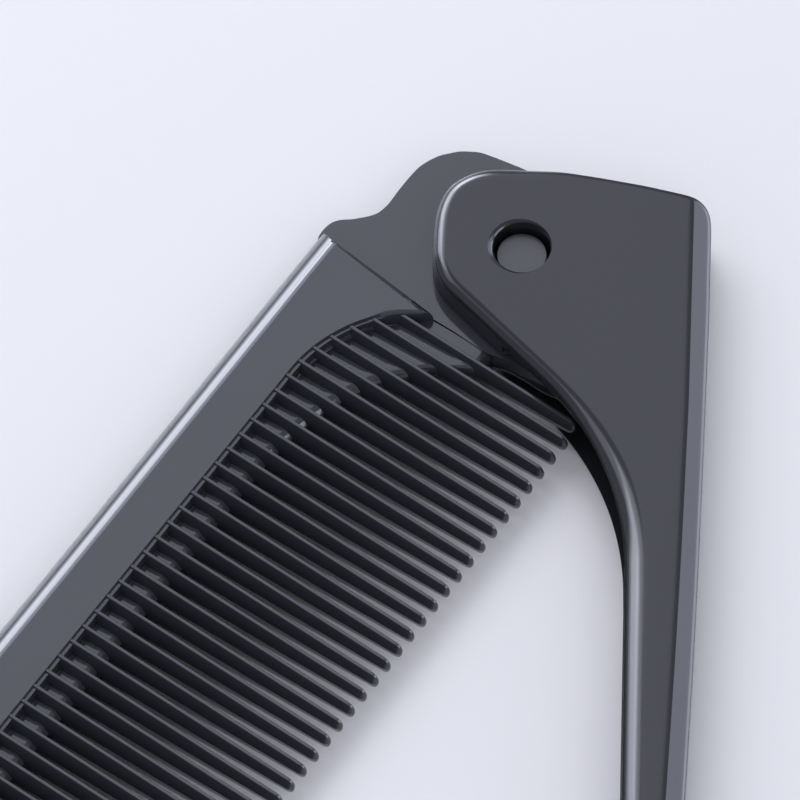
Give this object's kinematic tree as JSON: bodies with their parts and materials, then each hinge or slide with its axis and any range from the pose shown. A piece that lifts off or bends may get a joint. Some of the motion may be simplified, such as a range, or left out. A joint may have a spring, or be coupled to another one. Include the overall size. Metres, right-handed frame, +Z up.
{
  "type": "folding comb",
  "caption": "Black plastic folding comb, half folded: a fine-toothed comb that swings on a pin out of its slim channel-shaped handle.",
  "frame": {"origin": "centre of the bottom of the bounding box, on the surface that the comb lies on", "axes": "+Z up, +Y along the handle from its tip to its pivot end, +X toward the handle's closed back edge"},
  "size_m": [0.0826, 0.1198, 0.007],
  "materials": {
    "handle_plastic": "semi-gloss moulded black",
    "pin_plastic": "semi-gloss moulded black, faintly swirled face",
    "comb_plastic": "semi-gloss moulded black"
  },
  "bodies": {
    "handle": {"handle": "handle_plastic", "pivot_pin": "pin_plastic"},
    "comb": {"comb": "comb_plastic"}
  },
  "joints": [
    {"name": "comb_hinge", "type": "hinge", "parent": "handle", "child": "comb", "pos_m": [0.02481, 0.04822, 0.00275], "axis": [0, 0, 1], "range_deg": [-148.1, 31.9]}
  ]
}
